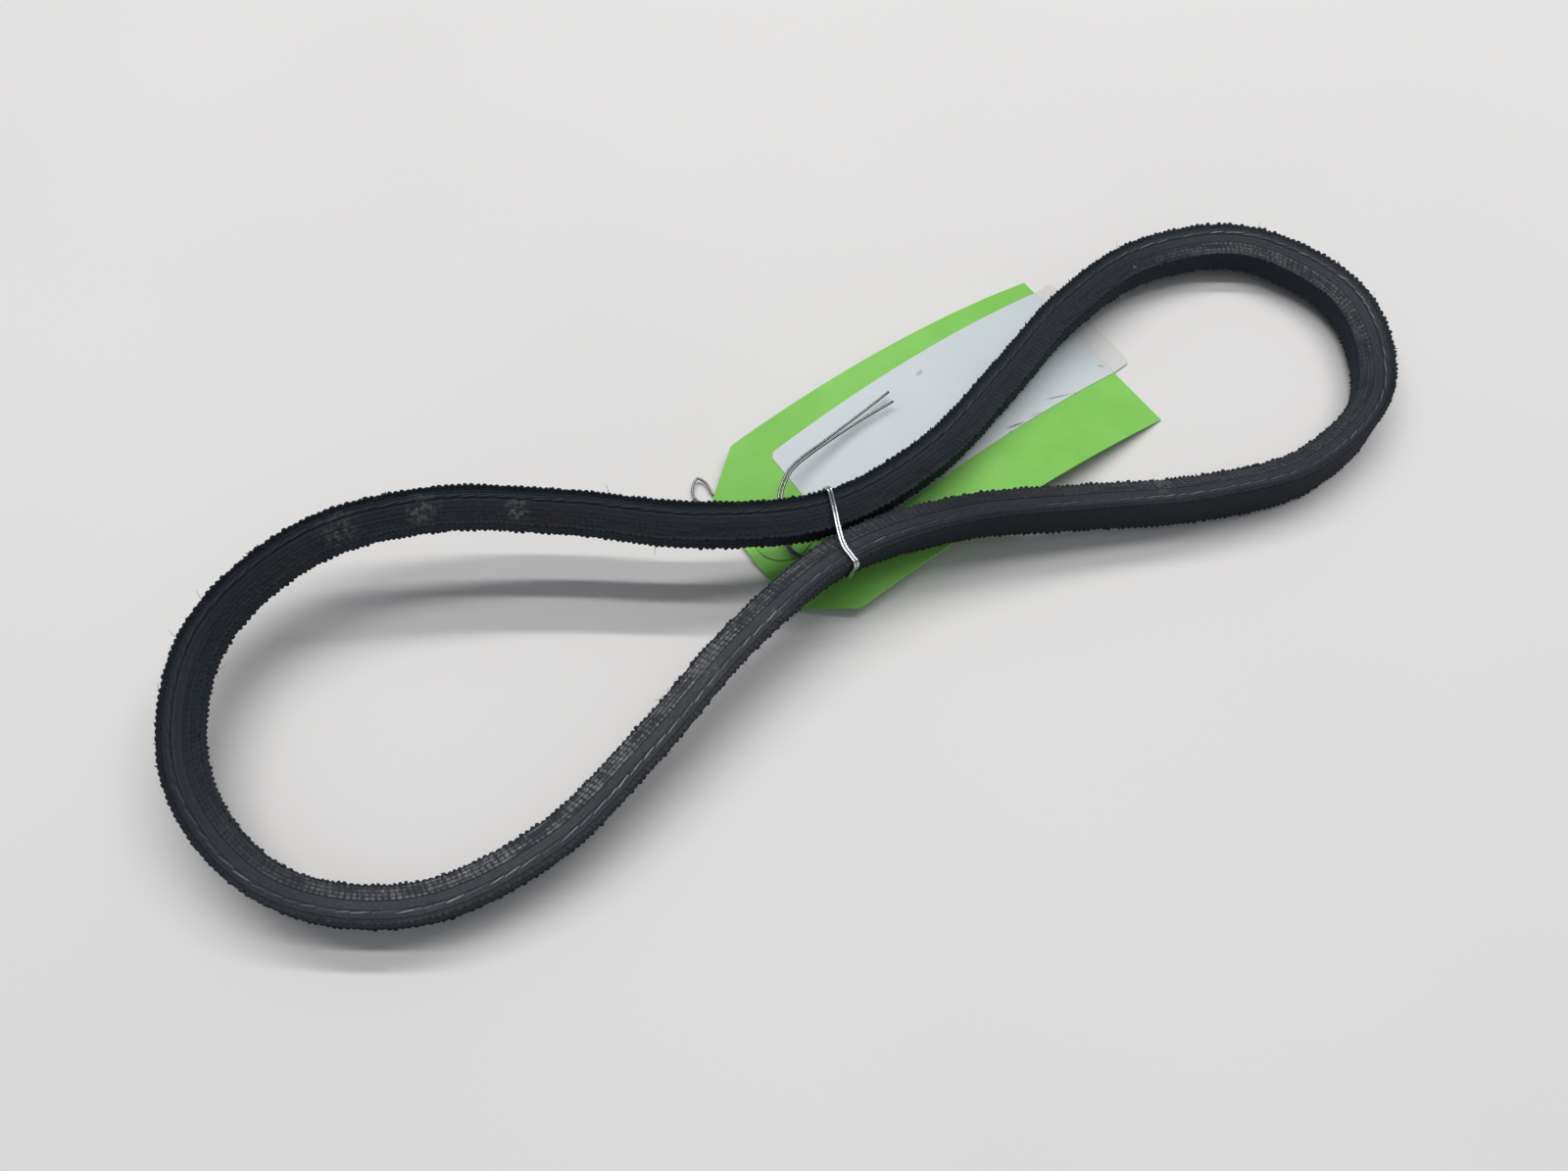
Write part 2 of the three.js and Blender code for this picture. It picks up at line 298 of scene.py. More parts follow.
# ---------------------------------------------------------------- material helpers
class Nodes:
    """Short calls for building a material's node tree."""

    def __init__(self, name):
        self.material = bpy.data.materials.new(name)
        self.material.use_nodes = True
        self.tree = self.material.node_tree
        self.shader = self.tree.nodes["Principled BSDF"]

    def node(self, kind, inputs=None, **settings):
        made = self.tree.nodes.new(kind)
        for key, value in settings.items():
            setattr(made, key, value)
        for key, value in (inputs or {}).items():
            self.feed(made.inputs[key], value)
        return made

    def feed(self, socket, value):
        if isinstance(value, bpy.types.NodeSocket):
            self.tree.links.new(value, socket)
        else:
            socket.default_value = value

    def math(self, operation, a, b=0.0, clamp=False):
        made = self.node("ShaderNodeMath", {0: a, 1: b}, operation=operation, use_clamp=clamp)
        return made.outputs[0]

    def times(self, a, b, clamp=False):
        return self.math("MULTIPLY", a, b, clamp)

    def apart(self, a, b):
        """How far two values are from each other."""
        return self.math("ABSOLUTE", self.math("SUBTRACT", a, b))

    def noise(self, vector, scale, detail, roughness=0.55):
        made = self.node("ShaderNodeTexNoise", {"Vector": vector, "Scale": scale, "Detail": detail,
                                                "Roughness": roughness})
        return made.outputs["Fac"]

    def ramp(self, value, low, high, start=0.0, end=1.0):
        """Value mapped from low..high to start..end, clamped."""
        made = self.node("ShaderNodeMapRange", {"Value": value, "From Min": low, "From Max": high,
                                                "To Min": start, "To Max": end})
        return made.outputs["Result"]

    def mix(self, factor, a, b):
        made = self.node("ShaderNodeMix", data_type="RGBA")
        for index, value in ((0, factor), (6, a), (7, b)):
            self.feed(made.inputs[index], value)
        return made.outputs[2]

    def bump(self, height, strength, distance, under=None):
        """Surface relief; distance is in mm."""
        inputs = {"Height": height, "Strength": strength, "Distance": distance * MM}
        if under is not None:
            inputs["Normal"] = under
        return self.node("ShaderNodeBump", inputs).outputs["Normal"]

    def belt_coords(self):
        """Along, depth and across in mm: as one vector, then as three sockets."""
        vector = self.node("ShaderNodeAttribute", attribute_name="belt").outputs["Vector"]
        parts = self.node("ShaderNodeSeparateXYZ", {0: vector}).outputs
        return vector, parts[0], parts[1], parts[2]

    def look(self):
        """Ridge height and wear with painted sheen (on the wire, where its tails are not painted in
        shade), as two sockets.
        """
        vector = self.node("ShaderNodeAttribute", attribute_name="look").outputs["Vector"]
        parts = self.node("ShaderNodeSeparateXYZ", {0: vector}).outputs
        return parts[0], parts[1]

    def object_coords(self):
        return self.node("ShaderNodeTexCoord").outputs["Object"]

    def scaled(self, vector, scale):
        return self.node("ShaderNodeVectorMath", {0: vector, 1: scale}, operation="MULTIPLY").outputs[0]

    def spot(self, place, radius, vector):
        """1 at a place in the CAD frame (mm), falling to 0 at the radius."""
        centre = tuple(v * MM for v in place)
        away = self.node("ShaderNodeVectorMath", {0: vector, 1: centre}, operation="DISTANCE")
        return self.ramp(away.outputs["Value"], radius * MM, 0.0)

    def surface(self, inputs):
        """Feeds the shader's sockets by name and gives the finished material."""
        for key, value in inputs.items():
            self.feed(self.shader.inputs[key], value)
        return self.material


def grey(value, tint=(1.0, 1.0, 1.0)):
    return (value * tint[0], value * tint[1], value * tint[2], 1.0)


# tints: fresh rubber and fabric, the same rubbed pale and painted lit, cord, steel
DARK = (0.73, 1.02, 1.43)
WORN_AND_LIT = (0.92, 0.99, 1.12)
UNDYED = (1.0, 1.0, 0.97)
STEEL = (0.98, 0.99, 1.02)

# colours; where there are two, they are the two ends of a slow mottle
OUTER_RUBBER = (0.0100, 0.0135, 0.0145, 1)
BROWN_FABRIC = (0.0245, 0.0225, 0.0265, 1)
CARD_GREEN = ((0.20, 0.545, 0.085, 1), (0.245, 0.60, 0.115, 1))
PATCH_GREEN = ((0.19, 0.52, 0.08, 1), (0.235, 0.57, 0.11, 1))
LABEL_WHITE = ((0.575, 0.625, 0.645, 1), (0.605, 0.655, 0.675, 1))
LABEL_FREE_END = (0.62, 0.615, 0.60, 1)
LABEL_LINE = (0.34, 0.34, 0.32, 1)
LABEL_SMUDGE = (0.05, 0.05, 0.055, 1)
FLOOR_GREY = ((0.72, 0.71, 0.70, 1), (0.75, 0.74, 0.73, 1))

# how strongly each line beside the cord shows as painted groove shade; the pale band past the second, a
# painted highlight: how far in, half width (mm)
LINE_STRENGTHS = (0.25, 0.75)
PALE_BAND = (0.28, 0.2)
WEAVE_PITCH = 0.95

# dried dirt and scuffs: place in the CAD frame (mm), radius (mm), strength
SMEARS = (
    ((-74.6, 28.9, 23.0), 4.6, 0.85),
    ((-76.5, 27.6, 23.0), 3.2, 0.75),
    ((-59.0, 20.6, 23.2), 3.0, 0.75),
    ((-59.2, 19.6, 23.2), 1.5, 1.0),
    ((-91.5, 31.2, 22.2), 5.0, 0.45),
    ((91.5, 31.6, 10.1), 0.8, 1.0),
    ((65.0, -20.7, 10.6), 3.4, 0.5),
    ((-22.0, -18.0, 15.9), 4.0, 0.35),
    ((-37.6, -21.2, 14.4), 5.0, 0.35),
)
DIRT = (0.20, 0.20, 0.18, 1.0)


def smeared(n, colour, amount=1.0):
    """Mixes in dried dirt where the belt has picked it up."""
    coords = n.object_coords()
    grain = n.noise(coords, 900.0, 4.0, 0.75)
    for place, radius, strength in SMEARS:
        mask = n.times(n.spot(place, radius, coords), n.ramp(grain, 0.46, 0.60))
        mask = n.times(mask, strength * amount, clamp=True)
        colour = n.mix(mask, colour, DIRT)
    return colour


def rubber_material():
    """Cut rubber: dull blue-black, paled by wear and painted sheen, with long scuffs, speckle and the two
    lines beside the cord, painted as shade in their grooves.
    """
    n = Nodes("belt_rubber")
    vector, _, depth, _ = n.belt_coords()
    _, wear_and_sheen = n.look()
    grain = n.noise(vector, 2.4, 5.0, 0.75)
    scuff = n.noise(n.scaled(vector, (0.45, 1.6, 1.6)), 1.4, 4.0, 0.65)
    patch = n.noise(n.scaled(vector, (0.05, 0.35, 0.35)), 1.0, 3.0)
    # paler where worn, and painted sheen where the flanks catch the light
    rubbed_and_sheen = n.times(wear_and_sheen, n.ramp(patch, 0.25, 0.65, 0.55, 1.05))
    tone = n.mix(rubbed_and_sheen, grey(0.0215, DARK), grey(0.060, WORN_AND_LIT))
    speck = n.times(n.ramp(scuff, 0.52, 0.78), n.ramp(wear_and_sheen, 0.0, 1.0, 0.25, 0.8))
    tone = n.mix(speck, tone, grey(0.095, WORN_AND_LIT))
    tone = n.mix(n.ramp(grain, 0.52, 0.36, 0.0, 0.65), tone, grey(0.009, DARK))
    outer = n.times(n.ramp(depth, 1.6, 1.1), n.ramp(wear_and_sheen, 0.0, 1.0, 0.5, 0.15))
    tone = n.mix(outer, tone, OUTER_RUBBER)
    # painted light: paler towards the base plies, lifting the shade their ridges cast on the rubber
    tone = n.mix(n.ramp(depth, 3.3, 4.2, 0.0, 0.25), tone, grey(0.060, WORN_AND_LIT))
    broken = n.noise(n.scaled(vector, (0.16, 0.9, 0.9)), 1.0, 4.0, 0.7)
    # painted shade: each line beside the cord darkened along its groove
    for line, strength in zip(GROOVE_DEPTHS, LINE_STRENGTHS):
        near = n.ramp(n.apart(depth, line), 0.22, 0.03)
        near = n.times(near, n.ramp(broken, 0.38, 0.62, 0.25, 1.0))
        tone = n.mix(n.times(near, strength), tone, grey(0.008, DARK))
    # painted highlight: a pale band on the lip just inwards of the second line
    inwards, half = PALE_BAND
    below = n.ramp(n.apart(depth, GROOVE_DEPTHS[1] + inwards), half, 0.04)
    tone = n.mix(n.times(below, n.ramp(patch, 0.35, 0.6, 0.05, 0.4)), tone, grey(0.050, WORN_AND_LIT))
    return n.surface({
        "Base Color": smeared(n, tone),
        "Roughness": n.ramp(grain, 0.2, 0.8, 0.55, 0.8),
        "Specular IOR Level": 0.22,
        "Normal": n.bump(scuff, 0.5, 0.12, n.bump(grain, 1.0, 0.16)),
    })


def base_ply_material():
    """Cut ends of the base fabric: dark fuzz, with pale rubbed ends on the ridges, paled further by
    painted sheen, and painted shade between the ridges.
    """
    n = Nodes("belt_base_fabric")
    vector, _, depth, _ = n.belt_coords()
    ridge, wear_and_sheen = n.look()
    grain = n.noise(vector, 2.6, 5.0, 0.8)
    tuft = n.noise(n.scaled(vector, (1.0, 0.55, 0.55)), 1.3, 5.0, 0.75)
    patch = n.noise(n.scaled(vector, (0.06, 0.4, 0.4)), 1.0, 3.0)
    brown = n.mix(n.ramp(patch, 0.35, 0.65), grey(0.0235, DARK), BROWN_FABRIC)
    # paler where worn, and painted sheen where the flanks catch the light
    tone = n.mix(n.times(wear_and_sheen, 0.95, clamp=True), brown, grey(0.068, WORN_AND_LIT))
    ends = n.times(n.ramp(ridge, 0.16, 0.55), n.ramp(tuft, 0.38, 0.60))
    rubbed_and_sheen = n.times(ends, n.ramp(wear_and_sheen, 0.0, 1.0, 0.15, 1.0))
    tone = n.mix(rubbed_and_sheen, tone, n.mix(wear_and_sheen, grey(0.045, WORN_AND_LIT), grey(0.27)))
    tone = n.mix(n.ramp(depth, 6.55, 6.9, 0.0, 0.9), tone, grey(0.026, DARK))
    # painted shade: darker in the hollows between the ridges
    hollow_shade = n.times(n.times(n.ramp(ridge, 0.30, 0.02), 0.55), n.ramp(depth, 6.9, 6.7))
    tone = n.mix(hollow_shade, tone, grey(0.010, DARK))
    tone = n.mix(n.ramp(grain, 0.50, 0.34, 0.0, 0.6), tone, grey(0.009, DARK))
    return n.surface({
        "Base Color": smeared(n, tone),
        "Roughness": n.ramp(grain, 0.2, 0.8, 0.72, 0.95),
        "Specular IOR Level": 0.22,
        "Normal": n.bump(tuft, 0.6, 0.15, n.bump(grain, 1.0, 0.16)),
    })


def back_ply_material():
    """Outer fabric: dark, napped, with a fine bias weave that shows where it is rubbed; paled by wear and
    painted sheen.
    """
    n = Nodes("belt_back_fabric")
    vector, along, _, across = n.belt_coords()
    ridge, wear_and_sheen = n.look()
    grain = n.noise(vector, 2.6, 5.0, 0.8)
    turn = 2 * math.pi / WEAVE_PITCH
    weave_a = n.math("SINE", n.times(n.math("ADD", along, across), turn))
    weave_b = n.math("SINE", n.times(n.math("SUBTRACT", along, across), turn))
    weave = n.math("MAXIMUM", weave_a, weave_b)
    patch = n.noise(n.scaled(vector, (0.06, 0.4, 0.4)), 1.0, 3.0)
    # paler where worn, and painted sheen where the flanks catch the light
    tone = n.mix(n.times(wear_and_sheen, 0.6), grey(0.0165, DARK), grey(0.060, WORN_AND_LIT))
    shown = n.times(n.ramp(weave, 0.2, 1.0), n.ramp(patch, 0.38, 0.7, 0.06, 0.30))
    tone = n.mix(shown, tone, grey(0.040, DARK))
    tone = n.mix(n.ramp(grain, 0.52, 0.34, 0.0, 0.6), tone, grey(0.008, DARK))
    tips = n.times(n.ramp(ridge, 0.5, 1.0), n.ramp(wear_and_sheen, 0.0, 1.0, 0.12, 0.45))
    tone = n.mix(tips, tone, grey(0.075, WORN_AND_LIT))
    return n.surface({
        "Base Color": smeared(n, tone, 0.4),
        "Roughness": n.ramp(grain, 0.2, 0.8, 0.75, 0.98),
        "Specular IOR Level": 0.2,
        "Normal": n.bump(weave, 0.6, 0.06, n.bump(grain, 1.0, 0.14)),
    })


def cord_material():
    """Cut polyester cord: grey where it is dirty, nearly white where it is rubbed clean, with painted
    sheen along the same stretches.
    """
    n = Nodes("belt_cord")
    coords = n.object_coords()
    _, wear_and_sheen = n.look()
    grain = n.noise(coords, 1500.0, 4.0, 0.7)
    patch = n.noise(coords, 75.0, 2.0, 0.5)
    clean = n.times(n.ramp(wear_and_sheen, 0.0, 1.0, 0.02, 0.95), n.ramp(patch, 0.36, 0.58, 0.35, 1.0))
    tone = n.mix(clean, grey(0.020, DARK), grey(0.44, UNDYED))
    tone = n.mix(n.ramp(grain, 0.5, 0.35, 0.0, 0.7), tone, grey(0.02, DARK))
    return n.surface({"Base Color": tone, "Roughness": 0.8, "Normal": n.bump(grain, 0.6, 0.06)})


def fibre_material():
    """Loose dark threads."""
    n = Nodes("belt_fibres")
    grain = n.noise(n.object_coords(), 900.0, 2.0)
    tone = n.mix(grain, grey(0.010, DARK), grey(0.035, DARK))
    return n.surface({"Base Color": tone, "Roughness": 0.9, "Specular IOR Level": 0.2})


def wire_material():
    """Soft annealed steel wire, bright over the belt, with painted shade darkening both tails."""
    n = Nodes("tie_wire_steel")
    _, unshaded = n.look()
    patch = n.noise(n.object_coords(), 130.0, 3.0, 0.6)
    tone = n.mix(n.ramp(patch, 0.35, 0.65), grey(0.70, STEEL), grey(0.56, STEEL))
    # painted shade: both tails darkened to a dull grey
    tone = n.mix(unshaded, grey(0.17, STEEL), tone)
    return n.surface({"Base Color": tone, "Metallic": 1.0, "Roughness": 0.3})


def card_material(name, low, high):
    """Coloured card or paper with fibre mottle."""
    n = Nodes(name)
    coords = n.object_coords()
    fibre = n.noise(n.scaled(coords, (1.0, 1.6, 1.0)), 1500.0, 5.0, 0.65)
    cloud = n.noise(coords, 90.0, 3.0, 0.5)
    tone = n.mix(n.ramp(cloud, 0.3, 0.7), low, high)
    shade = tuple(0.8 * v for v in low[:3]) + (1.0,)
    return n.surface({
        "Base Color": n.mix(n.ramp(fibre, 0.4, 0.8, 0.0, 0.18), tone, shade),
        "Roughness": n.ramp(fibre, 0.3, 0.8, 0.6, 0.78),
        "Specular IOR Level": 0.35,
        "Normal": n.bump(fibre, 0.35, 0.03),
    })


# streaks rubbed onto the label: first and last point (along and across the tag), half width (mm),
# strength
LABEL_STREAKS = (
    ((81.5, -8.4), (86.3, -11.2), 0.42, 1.0),
    ((74.0, -6.6), (81.5, -8.4), 0.28, 0.7),
    ((61.5, -8.2), (66.8, -9.2), 0.42, 0.8),
    ((61.6, -9.6), (62.8, -9.9), 0.5, 0.7),
    ((68.5, -8.6), (72.0, -9.4), 0.8, 0.25),
    ((93.0, -4.8), (94.2, -5.6), 0.4, 0.6),
    ((54.3, 13.8), (55.8, 14.1), 0.6, 0.45),
)
# half width of the shadow line where the label leaves the card
LABEL_END_LINE = 0.16


def label_material():
    """Glossy white label paper, warmer where it runs past the card, with a few rubbed streaks."""
    n = Nodes("label_paper")
    coords = n.object_coords()
    vector = n.node("ShaderNodeAttribute", attribute_name="tag").outputs["Vector"]
    along = n.node("ShaderNodeSeparateXYZ", {0: vector}).outputs[0]
    fibre = n.noise(coords, 1800.0, 4.0, 0.6)
    cloud = n.noise(coords, 60.0, 3.0, 0.5)
    tone = n.mix(n.ramp(cloud, 0.3, 0.7), *LABEL_WHITE)
    free = n.ramp(along, TAG_LENGTH - 0.1, TAG_LENGTH + 0.1)
    tone = n.mix(free, tone, LABEL_FREE_END)
    line = n.ramp(n.apart(along, TAG_LENGTH), LABEL_END_LINE, 0.02, 0.0, 0.45)
    tone = n.mix(line, tone, LABEL_LINE)
    broken = n.noise(n.scaled(vector, (1.2, 2.2, 1.0)), 2.0, 4.0, 0.75)
    for first, last, half, strength in LABEL_STREAKS:
        middle = tuple((a + b) / 2 for a, b in zip(first, last)) + (0.0,)
        length = math.dist(first, last) / 2 + half
        turn = math.atan2(last[1] - first[1], last[0] - first[0])
        local = n.node("ShaderNodeVectorMath", {0: vector, 1: middle}, operation="SUBTRACT").outputs[0]
        turned = n.node("ShaderNodeVectorRotate", {"Vector": local, "Angle": -turn},
                        rotation_type="Z_AXIS")
        local = n.scaled(turned.outputs[0], (1 / length, 1 / half, 0.0))
        size = n.node("ShaderNodeVectorMath", {0: local}, operation="LENGTH").outputs["Value"]
        mask = n.times(n.ramp(size, 1.0, 0.35), n.ramp(broken, 0.36, 0.50))
        tone = n.mix(n.times(mask, strength, clamp=True), tone, LABEL_SMUDGE)
    return n.surface({
        "Base Color": tone,
        "Roughness": n.ramp(fibre, 0.3, 0.8, 0.42, 0.55),
        "Specular IOR Level": 0.3,
        "Normal": n.bump(fibre, 0.2, 0.02),
    })


def floor_material():
    """Matt pale studio floor."""
    n = Nodes("studio_floor")
    cloud = n.noise(n.object_coords(), 6.0, 2.0, 0.5)
    tone = n.mix(n.ramp(cloud, 0.3, 0.7), *FLOOR_GREY)
    return n.surface({"Base Color": tone, "Roughness": 0.7, "Specular IOR Level": 0.3})


# ---------------------------------------------------------------- belt pieces
STATIONS = 2600

# how many random values go round the loop, for fine, middling and slow unevenness
FINE, MIDDLING, SLOW = 1900, 1500, 150

# outer plies (mm): depths each starts and ends at; then for each point of a cut edge, its share of that
# depth, how far its knots stand out and how far they rise; then how much of that stand each ply has
BACK_PLIES = ((0.04, 0.43), (0.50, 0.90))
BACK_EDGE = ((0.0, 0.55, 0.60), (0.5, 0.80, 0.22), (1.0, 0.25, 0.22))
BACK_FRAYS = (1.0, 0.6)
BACK_EDGE_SINK = 0.22
BACK_FACE_ROWS = 8
BACK_FACE_SHARE = 0.86

# rubber flank (mm): depth of each point and how far it stands out of the CAD's flank
UPPER, LOWER = GROOVE_DEPTHS
GROOVE_HALF = 0.12
OVERCORD_END = 1.3
LINE_WANDER_KNOTS = 70
RUBBER_FLANK = (
    (0.90, -0.25), (0.98, 0.02), (1.18, 0.05),
    (UPPER - GROOVE_HALF, 0.02), (UPPER, -0.04), (UPPER + GROOVE_HALF, 0.05),
    (2.0, 0.08),
    (LOWER - GROOVE_HALF, 0.03), (LOWER, -0.10), (LOWER + GROOVE_HALF, 0.0),
    (2.8, 0.03), (3.2, 0.0), (3.7, -0.02), (4.12, -0.03), (4.3, -0.28),
)

# base plies (mm): for each point of a ply, its share of the ply, ridge height, how bare it looks
BASE_PLY = ((0.03, 0.02, 0.25), (0.35, 0.22, 1.0), (0.72, 0.22, 0.9))
# for each point of the inner face's edge (mm): how far short of the full depth it starts, then how far
# its knots reach inwards, how far they stand out and how far it is sunk
BASE_EDGE = ((0.25, 0.45, 0.72, 0.13), (0.12, 0.68, 0.45, 0.22))
# how far each ply's own knots are shifted along from the last ply's (mm)
PLY_SHIFT = 0.16
BASE_FACE_ROWS = 6
BASE_FACE_SHARE = 0.72


def ring(rows):
    """Stacks a profile's points; each is depth, across and ridge height."""
    return tuple(np.stack(part, 1) for part in zip(*rows))


def back_profile(along, length, wear_and_sheen):
    """Two frayed plies: the outer face, both cut edges and the hidden inner side."""
    count = len(along)
    flat = np.zeros(count)
    frayed = 0.75 + 0.25 * np.clip(wear_and_sheen, 0, 1)

    def edge(sign):
        """Cut ends of both plies, from the outer face's corner inwards."""
        rows = []
        soft = 0.05 * Noise(12 + sign, 160, length).at(along)
        for ply, (first, last) in enumerate(BACK_PLIES):
            tooth = frayed * teeth(along, length, 31 + 10 * ply + 5 * (sign > 0), 0.5, 0.25)
            for share, fray, rise in BACK_EDGE:
                seed = 40 + 4 * ply + int(2 * share) + 20 * (sign > 0)
                rough = 0.10 * Noise(seed, FINE, length).at(along)
                push = fray * BACK_FRAYS[ply] * tooth + rough + soft - BACK_EDGE_SINK
                lift = (rise * tooth - 0.1) * (ply == 0)
                depth = first + (last - first) * share - lift
                rows.append((depth, sign * (half_width(first) + push), tooth))
        return rows

    face = []
    for k in range(BACK_FACE_ROWS):
        share = BACK_FACE_SHARE * (1 - 2 * k / (BACK_FACE_ROWS - 1))
        crown = 0.07 * Noise(60 + k, 1100, length).at(along)
        face.append((crown - 0.02, np.full(count, half_width(0) * share), flat))
    inner = half_width(BACK_DEPTH)
    hidden = [(np.full(count, BACK_DEPTH + 0.03), np.full(count, inner * share), flat)
              for share in (-0.5, 0.5)]
    return ring(edge(1)[::-1] + face + edge(-1) + hidden)


def rubber_profile(along, length, _wear_and_sheen):
    """The cut rubber of both flanks, with a shallow line on each side of the cord."""
    rows = []
    for sign in (1, -1):
        flank = []
        for k, (d, stand) in enumerate(RUBBER_FLANK):
            rough, knots = (0.09, MIDDLING) if d < OVERCORD_END else (0.045, 800)
            ripple = rough * Noise(200 + 3 * k + (sign > 0), knots, length).at(along)
            wander = 0.0
            if min(abs(d - line) for line in GROOVE_DEPTHS) < GROOVE_HALF:
                seed = 150 + (sign > 0) + int(d)
                wander = 0.04 * Noise(seed, LINE_WANDER_KNOTS, length).at(along)
            depth = d + wander + np.zeros(len(along))
            flank.append((depth, sign * (half_width(d) + stand + ripple), 0 * along))
        rows += flank[::-1] if sign > 0 else flank
    return ring(rows)


def base_profile(along, length, wear_and_sheen):
    """Four base plies: ridged flanks and the toothed narrow inner face."""
    ply = (THICKNESS - BASE_DEPTH) / PLY_COUNT
    flat = np.zeros(len(along))
    frayed = 0.85 + 0.15 * np.clip(wear_and_sheen, 0, 1)
    corner = half_width(THICKNESS)
    edge_teeth, columns = {}, {}
    for sign in (1, -1):
        edge_teeth[sign] = frayed * teeth(along, length, 71 + 10 * (sign > 0), 0.5, 0.25)
        columns[sign] = teeth(along, length, 171 + 10 * (sign > 0), 0.5, 0.35)

    def flank(sign):
        """From the undercord down to the inner face's edge."""
        rows = []
        for row in range(PLY_COUNT):
            start = BASE_DEPTH + row * ply
            own = teeth(along + PLY_SHIFT * row, length, 91 + row + 10 * (sign > 0), 0.3, 0.3)
            tooth = np.clip(0.55 * np.roll(columns[sign], -row) + 0.55 * own - 0.08, 0, 1)
            patches = Noise(500 + row + 9 * (sign > 0), SLOW, length).at(along)
            presence = np.clip(0.85 + 0.65 * patches, 0.1, 1)
            for share, height, seen in BASE_PLY:
                depth = start + share * ply
                seed = 300 + row * 7 + int(9 * share) + 60 * (sign > 0)
                rough = 0.11 * Noise(seed, FINE, length).at(along)
                across = half_width(depth) + height * tooth * presence + rough - 0.06
                rows.append((depth + flat, sign * across, tooth * seen * presence))
        tooth = edge_teeth[sign]
        for over, rise, stand, sink in BASE_EDGE:
            rows.append((THICKNESS - over + rise * tooth, sign * (corner + stand * tooth - sink), tooth))
        return rows

    face = []
    for k in range(BASE_FACE_ROWS):
        share = BASE_FACE_SHARE * (1 - 2 * k / (BASE_FACE_ROWS - 1))
        near = edge_teeth[1 if share > 0 else -1] * abs(share) ** 2
        bumps = 0.09 * Noise(400 + k, MIDDLING, length).at(along)
        face.append((THICKNESS + 0.02 + 0.22 * near + bumps, corner * share + flat, flat))
    inner = half_width(BASE_DEPTH)
    hidden = [(BASE_DEPTH - 0.03 + flat, inner * share + flat, flat) for share in (-0.6, 0.6)]
    return ring((flank(1) + face + flank(-1)[::-1] + hidden)[::-1])


def bars(name, pieces, material):
    """One mesh of many thin bars; each is a path, its radii and how rubbed it is, with painted sheen."""
    verts, faces, look = [], [], []
    total = 0
    for path, radius, wear_and_sheen, sides in pieces:
        v, f = tube_mesh(path, radius, sides)
        faces += [[i + total for i in face] for face in f]
        verts.append(v)
        look.append(np.tile([0.0, wear_and_sheen, 0.0], (len(v), 1)))
        total += len(v)
    return new_object(name, np.concatenate(verts), faces, "belt", material,
                      attributes={"look": np.concatenate(look)})


# cut lengths of cord (mm); a pair is the least and the most, and the last CORD_END of a flank has none
CORD_SEED = 7
CORD_DEPTH = 2.05
CORD_LENGTH = (2.2, 4.4)
CORD_GAP = (-0.2, 0.5)
CORD_SLANT = (0.25, 0.42)
CORD_RADIUS = (0.13, 0.20)
# how much of the belt's wear and painted sheen each length of cord takes, least and most
CORD_WEAR_AND_SHEEN = (0.25, 1.05)
CORD_WANDER = 0.05
CORD_STAND = 0.06
CORD_POINTS = 8
CORD_SIDES = 6
CORD_END = 5.0
PLACE_STEPS = 4000


def cord_dashes(material):
    """Slanting lengths of cut cord, standing just out of both flanks."""
    rng = np.random.default_rng(CORD_SEED)
    places, length = even_places(PLACE_STEPS)
    run = np.linspace(0, length, PLACE_STEPS, endpoint=False)
    share = np.linspace(0, 1, CORD_POINTS)
    pieces = []
    for sign in (1, -1):
        at = 0.0
        while at < length - CORD_END:
            size = rng.uniform(*CORD_LENGTH)
            middle = CORD_DEPTH + rng.normal(0, CORD_WANDER)
            depth = middle + rng.uniform(*CORD_SLANT) * (share - 0.5)
            where = np.interp(at + share * size, run, places)
            path = np.array([section_point(w, d, sign * (half_width(d) + CORD_STAND))[0]
                             for w, d in zip(where, depth)])
            radius = rng.uniform(*CORD_RADIUS) * np.sin(np.pi * (0.06 + 0.88 * share)) ** 0.5
            wear_and_sheen = float(wear_and_sheen_at(where[:1])[0]) * rng.uniform(*CORD_WEAR_AND_SHEEN)
            pieces.append((path, radius, wear_and_sheen, CORD_SIDES))
            at += size + rng.uniform(*CORD_GAP)
    return bars("cord_dashes", pieces, material)


# short tufts and long loose fibres: how many, length (mm), points, drift along the belt and curl as
# shares of the length, radius at the root and the tip (mm), sides
Thread = namedtuple("Thread", "count length points drift curl radius sides")
TUFT = Thread(620, (0.3, 0.6), 4, 0.4, 0.08, (0.19, 0.08), 5)
FIBRE = Thread(70, (0.8, 1.7), 7, 1.0, 0.22, (0.06, 0.025), 4)
THREAD_SEED = 19
OUTER_ROOTS = (0.0, 0.6)
INNER_ROOTS = (6.6, 7.0)
ROOT_SINK = 0.05
# no thread goes lower than this over the floor (mm)
LEAST_HEIGHT = 0.08


